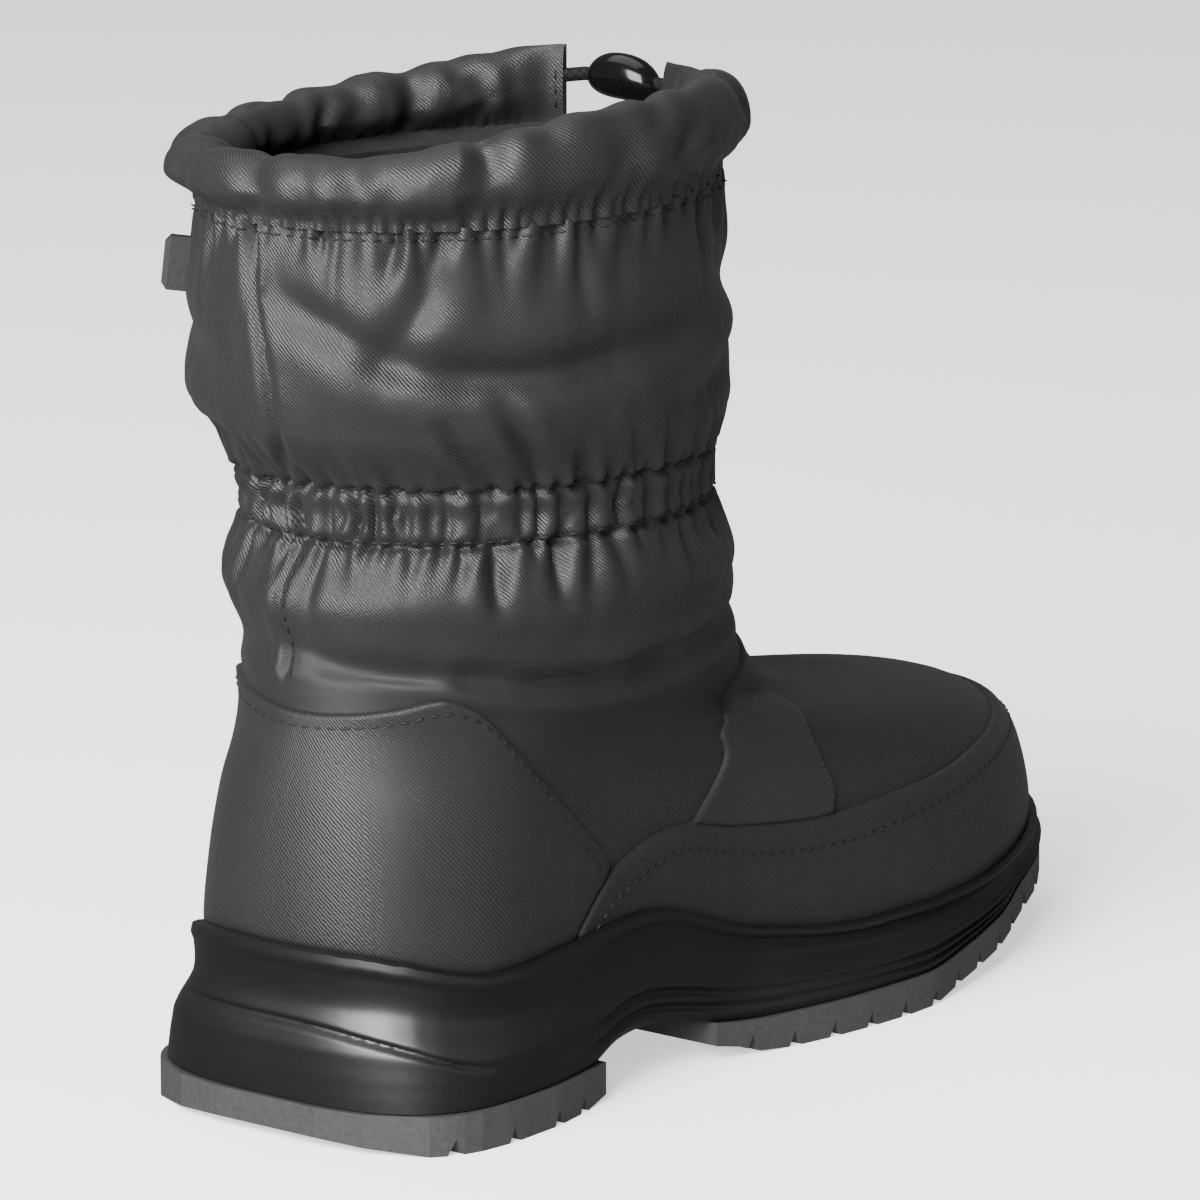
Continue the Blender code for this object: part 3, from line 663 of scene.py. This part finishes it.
def makeStage():
    s = stageSettings
    for name, setting in lights.items():
        data = bpy.data.lights.new(name, "AREA")
        data.size = setting["size"]
        data.energy = setting["power"]
        data.color = setting["tone"]
        item = bpy.data.objects.new(name, data)
        item.location = setting["at"]
        aim = Vector(s["aim"]) - item.location
        item.rotation_euler = aim.to_track_quat("-Z", "Y").to_euler()
        bpy.context.scene.collection.objects.link(item)
    world = bpy.data.worlds.new("studio")
    world.use_nodes = True
    sky = world.node_tree.nodes["Background"]
    sky.inputs["Color"].default_value = (1, 1, 1, 1)
    sky.inputs["Strength"].default_value = s["world"]
    bpy.context.scene.world = world
    form = bmesh.new()
    bmesh.ops.create_grid(form, x_segments=1, y_segments=1, size=s["floor"])
    floor = keep("floor", form)
    floorPaint, _, shader = nodeTree("paleFloor")
    shader.inputs["Base Color"].default_value = (s["paint"], s["paint"], s["paint"], 1)
    shader.inputs["Roughness"].default_value = s["rough"]
    shader.inputs["Emission Color"].default_value = (1, 1, 1, 1)
    shader.inputs["Emission Strength"].default_value = s["glow"]
    floor.data.materials.append(floorPaint)
    floor.visible_glossy = False  # the studio floor throws no mirror image on the rubber


makeCamera()
makeStage()
print("camera and stage made")


# Collar casing, in millimetres: how far its roll rises at each turn, and the gap at the front
collar = {
    "riseTurn": (0.0, 0.06, 0.10, 0.20, 0.27, 0.36, 0.46, 0.55, 0.60, 0.65, 0.75, 0.88, 1.0),
    "rise": (7.6, 7.8, 8.4, 11.4, 12.0, 11.0, 9.6, 10.6, 9.8, 8.4, 7.2, 6.6, 7.6),
    "sink": 0.6,
    "halfThick": 6.6,
    "gapAt": 0.511,
    "gapShare": 0.042,
    "boreRise": 3.5,
    "around": 560,
    "sides": 56,
}


# Upper: the outer cloth with its gathers, and the lining inside it
upperSettings = {
    "around": 470,
    "footLevels": (0.2, 5.0, 44),  # from, to and rows
    "shaftLevels": (5.0, 15.0, 162),
    "fill": 0.5,
}
liningSettings = {
    "around": 160,
    "levels": (15.0, 0.1, 90),
    "pile": 3.2,  # the shaft's padding, from these levels up
    "pileFrom": (7.0, 8.5),
    "fuzz": 0.6,
    "fuzzScales": ((0.22, 1.0), (0.6, 0.5)),  # scale and weight
    "tuck": 3.0,  # its top edge stands up in the casing
    "tuckIn": 0.3,
    "tuckFade": 0.015,
}


def makeOuterCloth():
    u = upperSettings
    turns = boot["seamTurn"] + np.linspace(0, 1, u["around"] + 1)
    levels = np.concatenate([np.linspace(*u["footLevels"])[:-1], np.linspace(*u["shaftLevels"])])
    grid = shaftPoint(turns[None, :], levels[:, None])
    grid[:, -1] = grid[:, 0]
    item = solid("upperCloth", grid, lengths(grid), close=True)
    dress(item, satin, "satin_cloth", "upper")


def makeLining():
    s = liningSettings
    turns = np.linspace(0, 1, s["around"] + 1)
    levels = np.linspace(*s["levels"])
    inward = -bootNormal(turns[None, :], levels[:, None])
    deep = boot["wall"] + s["pile"] * smoothStep(*s["pileFrom"], levels)
    lining = bootPoint(turns[None, :], levels[:, None]) + inward * deep[:, None, None]
    for i in range(lining.shape[0]):
        for j in range(lining.shape[1] - 1):
            spot = Vector(lining[i, j])
            fuzz = sum(weight * noise.noise(spot * scale) for scale, weight in s["fuzzScales"])
            lining[i, j] += inward[i, j] * s["fuzz"] * fuzz
    fromGap = abs(turns - collar["gapAt"]) - collar["gapShare"]
    tuck = bootPoint(turns, boot["topLevel"]) - bootNormal(turns, boot["topLevel"]) * s["tuckIn"]
    tuck[:, 2] += s["tuck"] * smoothStep(0.0, s["tuckFade"], fromGap)
    lining = np.concatenate([tuck[None], lining])
    lining[:, -1] = lining[:, 0]
    dress(solid("lining", lining[:, ::-1], close=True), fleece, "felt")


makeOuterCloth()
makeLining()
print("upper made")


# Levels and turns that are tried to find where a line crosses the upper: from, to and how many
tries = {"rim": (0.2, 4.0, 240), "edge": (0.5, 8.0, 600), "turn": (0.0, 0.5, 800)}


def levelOver(turn, along, up, levels):
    points = bootPoint(np.asarray(turn)[:, None], levels[None, :])
    over = points[..., 2] - smooth(along, up, points[..., 0])
    return levels[np.argmax(over > 0, axis=1)]


def rimLevel(turn):
    return levelOver(turn, rim["along"], rim["up"], np.linspace(*tries["rim"]))


def edgeLevel(turn, along, up):
    return levelOver(turn, along, up, np.linspace(*tries["edge"]))


def turnAt(along, level):
    turns = np.linspace(*tries["turn"])
    return float(np.interp(along, bootPoint(turns, level)[:, 0], turns))


# Panels: each is a sheet over the upper that rolls under at its edges; lengths in levels unless noted
panelSettings = {
    "rows": 26,
    "dip": 0.25,  # millimetres
    "rollRows": 0.10,
    "rollColumns": 2.0,  # columns of the grid
    "under": 0.05,
    "overlap": 0.02,
    "least": 0.05,
    "randLeast": 0.12,
}
counterSettings = {"end": (74.0, 1.75), "columns": 120, "thick": 1.4}
mudguardSettings = {"start": (59.0, 1.0), "columns": 240, "thick": 1.7}
instepSettings = {"columns": 280, "thick": 1.2}


def rolled(gap, width):
    return np.sqrt(np.clip(1 - (1 - np.clip(gap / width, 0, 1)) ** 2, 0, 1))


def makePanel(name, turns, low, high, thick):
    p = panelSettings
    rows = (1 - np.cos(np.pi * np.linspace(0, 1, p["rows"]))) / 2
    level = low[None, :] + (high - low)[None, :] * rows[:, None]
    turn = np.broadcast_to(turns[None, :], level.shape)
    fromEdge = np.minimum(rows, 1 - rows)[:, None] * np.maximum(high - low, p["least"])[None, :]
    fromEnd = np.minimum(np.arange(len(turns)), np.arange(len(turns))[::-1])[None, :]
    lift = rolled(fromEdge, p["rollRows"]) * rolled(fromEnd, p["rollColumns"])
    out = -p["dip"] + (p["dip"] + thick) * lift
    grid = bootPoint(turn, level) + bootNormal(turn, level) * out[..., None]
    return solid(name, grid, lengths(grid))


def randTop(turns):
    low = rimLevel(turns) - panelSettings["under"]
    top = edgeLevel(turns % 1.0, panels["randAlong"], panels["randUp"])
    return low, np.maximum(low + panelSettings["randLeast"], top)


def counterTop(turns):
    return edgeLevel(turns % 1.0, panels["counterAlong"], panels["counterUp"])


def makeCounter():
    c, p = counterSettings, panelSettings
    end = turnAt(*c["end"])
    turns = np.linspace(-end, end, c["columns"])
    overRand = randTop(turns)[1] - p["overlap"]
    besideRand = abs(turns) > turnAt(*mudguardSettings["start"])
    low = np.where(besideRand, overRand, rimLevel(turns) - p["under"])
    high = np.maximum(low + p["least"], counterTop(turns))
    item = makePanel("counterCloth", turns, low, high, c["thick"])
    dress(item, satin, "satin_cloth", "heel_counter")


def makeMudguard():
    m = mudguardSettings
    start = turnAt(*m["start"])
    turns = np.linspace(start, 1 - start, m["columns"])
    item = makePanel("mudguardCloth", turns, *randTop(turns), m["thick"])
    dress(item, satin, "satin_cloth", "mudguard")


def makeInstep():
    s, p = instepSettings, panelSettings
    turns = np.linspace(panels["bandTurn"][0], 1 - panels["bandTurn"][0], s["columns"])
    near = mirrorTurn(turns)
    front = smooth(panels["bandTurn"], panels["bandFront"], near)
    low = np.maximum(front, randTop(turns)[1] - p["overlap"])
    high = np.maximum(low + p["least"], smooth(panels["bandTurn"], panels["bandRear"], near))
    item = makePanel("instepCloth", turns, low, high, s["thick"])
    dress(item, matte, "matte_cloth", "instep_band")


makeCounter()
makeMudguard()
makeInstep()
print("panels made")


# Sole: the cup with its lip, steps and ridges
soleSettings = {
    "around": 320,
    "side": 76,
    "under": 7,
    "underScale": (0.99, 0.975),
    "heelRound": (0.12, 2.9),  # length as a share of the sole, and fullness
    "toeRound": (0.31, 2.3),
    "rimOut": 1.5,
    "rimTop": ((0.35, 0.5), (0.7, 0.4), (1.0, -0.6)),  # share of the way in, and lift
    "rimDeep": 3.0,
}
sideColumns = ("share", "bulge", "rib")
sideRows = (
    (0.0, 0.0, 0.0),
    (0.08, 0.3, 0.9),
    (0.15, 0.5, -0.4),
    (0.22, 0.7, 0.9),
    (0.29, 0.8, -0.4),
    (0.36, 0.9, 0.8),
    (0.44, 0.4, -0.2),
    (0.66, -1.6, 0.0),
    (0.86, -0.3, 0.0),
    (0.95, 0.9, 0.0),
    (1.0, 0.9, 0.0),
)
ribs = {
    "along": (50.0, 72.0, 100.0, 125.0, 150.0, 190.0, 278.0),
    "full": (0.0, 1.0, 1.0, 0.25, 0.25, 1.0, 1.0),
}
# Slit across the back of the heel: its height as a share of the side, at each turn
heelSlit = {
    "turn": (-0.07, 0.0, 0.045, 0.075, 0.10),
    "share": (0.50, 0.50, 0.43, 0.34, 0.26),
    "innerEnd": (-0.07, -0.045),
    "outerEnd": (0.10, 0.075),
    "depth": 0.9,
    "width": 0.022,
    "lip": 0.45,  # the face below stands out, and falls back within so many widths
    "lipFade": 9.0,
}


def soleOutline(turn):
    share, side = wayRound(turn)
    outer = smooth(sole["share"], sole["outer"], share)
    inner = smooth(sole["share"], sole["inner"], share)
    half = np.where(side < 0, outer, inner) * rounding(share, *soleSettings["heelRound"])
    half = half * rounding(1 - share, *soleSettings["toeRound"])
    along = share * boot["length"]
    return along, side * half + swing(along)


def slitDepth(turns, share):
    h = heelSlit
    fromBack = (turns + 0.5) % 1.0 - 0.5
    ends = smoothStep(*h["innerEnd"], fromBack) * smoothStep(*h["outerEnd"], fromBack)
    below = (smooth(h["turn"], h["share"], fromBack) - share) / h["width"]
    lip = smoothStep(0.0, 1.2, below) * np.exp(-np.clip(below, 0, None) / h["lipFade"])
    return h["depth"] * ends * (bell(below + 0.5) - h["lip"] * lip)


def makeSole():
    s = soleSettings
    turns = np.linspace(0, 1, s["around"] + 1)
    along, across = soleOutline(turns)
    alongScale, acrossScale = s["underScale"]
    along = boot["length"] / 2 + (along - boot["length"] / 2) * alongScale
    low = np.stack([along, across * acrossScale, smooth(sole["underAlong"], sole["underUp"], along)], -1)
    level = rimLevel(turns)
    outward = bootNormal(turns, level) * np.array((1, 1, 0))
    outward /= np.linalg.norm(outward, axis=-1, keepdims=True)
    inner = bootPoint(turns, level)
    high = inner + outward * (rim["lip"] + s["rimOut"])
    rows = [low * np.array((1, part, 1)) for part in np.linspace(0, 1, s["under"] + 1)[:-1]]
    side = dict(zip(sideColumns, zip(*sideRows)))
    full = smooth(ribs["along"], ribs["full"], along)
    for share in np.linspace(0, 1, s["side"]):
        bulge = smooth(side["share"], side["bulge"], share) + smooth(side["share"], side["rib"], share) * full
        bulge = bulge - slitDepth(turns, share)
        rows.append(low + (high - low) * share + outward * bulge[:, None])
    top = rows[-1]
    for share, lift in s["rimTop"]:
        ring = top + (inner - top) * share
        ring[:, 2] = top[:, 2] + lift
        rows.append(ring)
    rows.append(inner - np.array((0.0, 0.0, s["rimDeep"])))
    grid = np.array(rows)
    grid[:, -1] = grid[:, 0]
    item = solid("cupSole", grid, lengths(grid), close=True)
    dress(item, blackRubber, "black_rubber", "midsole")
    for name in ("heel_tread", "forefoot_tread"):
        finishNode(name, greyRubber, 0.5 * mm)
    finishNode("insole", feltBed, 0.8 * mm)


makeSole()
print("sole made")


# Collar: the gathered casing, its cord and the cord lock; shares run from its seam to its crown
casingSettings = {
    "facesApart": 0.13,  # turns between the pleats of the outer and inner face
    "sewn": (0.12, 0.35),
    "waves": ((0.8, 6, 11), (0.6, 13, 12)),  # height, count and seed
    "hem": (0.010, 0.055),  # turns from the gap
    "hemThick": 0.26,
    "endFade": (-1e-6, 1e-3),
    "swell": (-3.2, 1.7),
    "waist": (0.10, 0.50),
    "waistThick": 0.20,
    "crown": 0.55,
    "crownLift": (0.55, 0.95),
    "fill": 0.6,
}
seamPleats = {"count": 44, "depth": 1.5, "width": 1.7, "reach": (6.0, 17.0), "lean": 0.9, "seed": 41}
middlePleats = {"count": 20, "depth": 2.0, "width": 2.9, "reach": (9.0, 16.0), "lean": 1.6, "seed": 71}
crownPleats = {"count": 17, "depth": 1.5, "width": 3.2, "reach": (5.0, 13.0), "lean": 0.9, "seed": 51}
sewnPleats = {"count": 112, "depth": 0.7, "width": 0.85, "reach": (6.0, 9.0), "lean": 0.36, "seed": 61}


def casingFrame(turn):
    c = collar
    middle = bootPoint(turn, boot["topLevel"])
    rise = smooth(c["riseTurn"], c["rise"], np.asarray(turn) % 1.0)
    middle[..., 2] += rise - c["sink"]
    outward = bootNormal(turn, boot["topLevel"]) * np.array((1, 1, 0))
    return middle, rise, outward / np.linalg.norm(outward, axis=-1, keepdims=True)


def casingPoint(angles, turns):
    s = casingSettings
    middle, rise, outward = casingFrame(turns)
    cosine, sine = np.cos(angles)[:, None], np.sin(angles)[:, None]
    part = (sine + 1) / 2  # from the seam to the crown
    fromSeam = 2 * part * rise[None, :]
    around = np.broadcast_to(turns[None, :], fromSeam.shape)
    face = around + np.where(cosine < 0, s["facesApart"], 0.0)
    swell = sum(high * wobble(turns, count, seed) for high, count, seed in s["waves"])
    swell = swell + pleats(face, fromSeam, **seamPleats)
    swell = swell + pleats(face, abs(fromSeam - rise[None, :]), **middlePleats)
    swell = swell + pleats(around, 2 * rise[None, :] - fromSeam, **crownPleats)
    roll = smoothStep(*s["sewn"], part)
    swell = roll * swell + (1 - roll) * pleats(around, 0 * fromSeam, **sewnPleats)
    fromGap = np.minimum(turns - collar["gapAt"], collar["gapAt"] + 1 - turns) - collar["gapShare"]
    hem = smoothStep(*s["hem"], fromGap)
    swell = np.clip(swell, *s["swell"]) * hem[None, :]
    thick = collar["halfThick"] * (s["hemThick"] + (1 - s["hemThick"]) * hem)
    thick = thick * smoothStep(*s["endFade"], fromGap)
    waist = s["waistThick"] + (1 - s["waistThick"]) * smoothStep(*s["waist"], part)
    crown = np.sqrt(1 - np.clip((part - s["crown"]) / (1 - s["crown"]), 0, 1) ** 2)
    level = np.sign(np.round(cosine, 6)) * (thick[None, :] * waist + swell) * crown
    lift = sine * rise[None, :] + 0.5 * swell * smoothStep(*s["crownLift"], part)
    return middle[None] + level[..., None] * outward[None] + lift[..., None] * np.array((0.0, 0.0, 1.0))


def makeCasing():
    c = collar
    turns = np.linspace(c["gapAt"] + c["gapShare"], c["gapAt"] + 1 - c["gapShare"], c["around"])
    angles = np.linspace(0, 2 * np.pi, c["sides"] + 1) - np.pi / 2
    grid = casingPoint(angles, turns)
    grid[-1] = grid[0]
    item = solid("casingCloth", grid, lengths(grid), close=True)
    dress(item, satin, "satin_cloth", "collar_casing")


cordSettings = {"radius": 1.6, "sides": 14, "stations": 160, "inLock": 1.5, "pastLock": 1.0}
lockSettings = {
    "length": 19.0,
    "height": 10.5,
    "depth": 9.0,
    "bow": 1.2,
    "sink": 0.6,
    "tilt": 0.4,
    "fullness": 2.6,
    "endSize": 0.02,
    "stations": 40,
    "sides": 32,
}
tabEdge = 0.6 * mm


def tube(name, path, radius, sides):
    heading = np.gradient(path, axis=0)
    heading /= np.linalg.norm(heading, axis=1, keepdims=True)
    angles = np.linspace(0, 2 * np.pi, sides + 1)
    side = np.cross(heading, (0.0, 0.0, 1.0))
    side /= np.linalg.norm(side, axis=1, keepdims=True)
    rise = np.cross(side, heading)
    ring = np.cos(angles)[:, None, None] * side[None] + np.sin(angles)[:, None, None] * rise[None]
    grid = path[None] + ring * radius
    return solid(name, grid, lengths(grid), close=True)


def lockPlace():
    turn = np.array([collar["gapAt"]])
    lift = np.array((0.0, 0.0, collar["boreRise"]))
    middle, _, outward = casingFrame(turn)
    ahead = casingFrame(turn + 1e-3)[0][0] - casingFrame(turn - 1e-3)[0][0]
    return middle[0] + lift + outward[0], ahead / np.linalg.norm(ahead), outward[0]


def makeCord():
    c, s = collar, cordSettings
    middle, ahead, _ = lockPlace()
    turns = np.linspace(c["gapAt"] + c["gapShare"], c["gapAt"] + 1 - c["gapShare"], s["stations"])
    path = casingFrame(turns)[0] + np.array((0.0, 0.0, c["boreRise"]))
    half = lockSettings["length"] / 2
    lead = [ahead * reach for reach in (half - s["inLock"], half + s["pastLock"])]
    path = np.concatenate([[middle + out for out in lead], path, [middle - out for out in reversed(lead)]])
    dress(tube("cordBraid", path, s["radius"], s["sides"]), braid, "braid", "drawcord")


def makeLock():
    s = lockSettings
    middle, ahead, outward = lockPlace()
    share = np.linspace(-1, 1, s["stations"])
    bend = middle[None] + ahead[None] * share[:, None] * s["length"] / 2
    bend[:, 2] += s["bow"] * (1 - share**2) - s["sink"] + s["tilt"] * share
    full = np.sqrt(np.clip(1 - np.abs(share) ** s["fullness"], s["endSize"], 1))
    angles = np.linspace(0, 2 * np.pi, s["sides"] + 1)
    up = np.array((0.0, 0.0, 1.0))
    cosine, sine = np.cos(angles)[:, None, None], np.sin(angles)[:, None, None]
    ring = cosine * outward * s["depth"] / 2 + sine * up * s["height"] / 2
    grid = bend[None] + ring * full[None, :, None]
    item = solid("lockBody", grid, lengths(grid), close=True)
    dress(item, gloss, "gloss_black", "cord_lock")


makeCasing()
makeCord()
makeLock()
finishNode("side_tab", tabRubber, tabEdge)
print("collar made")


# Stitches: short threads laid along the seams
stitchSettings = {
    "pitch": 3.3,
    "long": 1.25,
    "thick": 0.28,
    "sink": 0.05,
    "ahead": 0.3,
    "shape": (6, 5),  # segments round and along
}
seamSettings = {
    "samples": 700,
    "lift": 0.15,
    "collarLevel": 14.86,
    "collarEnds": (0.004, 0.996),
    "bandLevels": (9.27, 10.79),  # both edges of the waist band
    "counterEnd": (72.0, 1.75),
    "counterIn": 0.36,
    "counterSamples": 200,
    "mudguardStart": (66.0, 1.2),
    "mudguardIn": 0.34,
    "mudguardSamples": 400,
    "backLevels": (6.0, 8.9, 120),
    "backAside": 0.008,
    "backLift": 0.1,
    "hemAngles": (205, 150, 60),  # down the hem, on its inner face
    "hemIn": 0.007,
    "hemLift": 0.1,
}


def between(at, run, rows):
    return np.array([np.interp(at, run, rows[:, k]) for k in range(3)])


def makeStitches(name, lines):
    s = stitchSettings
    around, long = s["shape"]
    size = Matrix.Diagonal((s["long"] * mm, s["thick"] * mm, s["thick"] * mm, 1))
    form = bmesh.new()
    for points, normals in lines:
        gaps = np.linalg.norm(np.diff(points, axis=0), axis=1)
        run = np.concatenate([[0], np.cumsum(gaps)])
        for at in np.arange(s["pitch"] / 2, run[-1], s["pitch"]):
            spot = between(at, run, points)
            ahead = between(at + s["ahead"], run, points) - spot
            if np.linalg.norm(ahead) < 1e-6:
                continue
            x = Vector(ahead).normalized()
            z = Vector(between(at, run, normals))
            z = (z - x * z.dot(x)).normalized()
            y = z.cross(x)
            centre = Vector(toMetres(spot)) + z * s["sink"] * mm
            place = Matrix.Translation(centre) @ Matrix((x, y, z)).transposed().to_4x4() @ size
            bmesh.ops.create_uvsphere(form, u_segments=around, v_segments=long, radius=1, matrix=place)
    item = keep(name, form, 180)
    return dress(item, thread, "braid")


def clothLine(turns, levels, out):
    return shaftPoint(turns, levels, out), bootNormal(turns, levels)


def panelLine(turns, levels, out):
    normals = bootNormal(turns, levels)
    return bootPoint(turns, levels) + normals * out, normals


def hemLine():
    s = seamSettings
    angles = np.radians(np.linspace(*s["hemAngles"]))
    turns = np.array([collar["gapAt"] + collar["gapShare"] + s["hemIn"]])
    outward = casingFrame(turns)[2]
    normals = np.cos(angles)[:, None] * outward + np.sin(angles)[:, None] * np.array((0.0, 0.0, 1.0))
    return casingPoint(angles, turns)[:, 0] + s["hemLift"] * normals, normals


def makeSeams():
    s = seamSettings
    first, last = s["collarEnds"]
    turns = np.linspace(boot["seamTurn"] + first, boot["seamTurn"] + last, s["samples"])
    lines = [clothLine(turns, s["collarLevel"], s["lift"])]
    end = turnAt(*s["counterEnd"])
    turns = np.linspace(-end, end, s["counterSamples"])
    lines.append(panelLine(turns, counterTop(turns) - s["counterIn"], counterSettings["thick"]))
    start = turnAt(*s["mudguardStart"])
    turns = np.linspace(start, 1 - start, s["mudguardSamples"])
    lines.append(panelLine(turns, randTop(turns)[1] - s["mudguardIn"], mudguardSettings["thick"]))
    levels = np.linspace(*s["backLevels"])
    turns = seamTurnAt(bootPoint(0.0, levels)[:, 2]) + s["backAside"]
    lines.append(clothLine(turns, levels, s["backLift"]))
    turns = np.linspace(0, 1, s["samples"])
    for level in s["bandLevels"]:
        lines.append(clothLine(turns, level, s["lift"]))
    lines.append(hemLine())
    makeStitches("stitches", lines)


makeSeams()
print("stitches made")

bpy.context.view_layer.update()
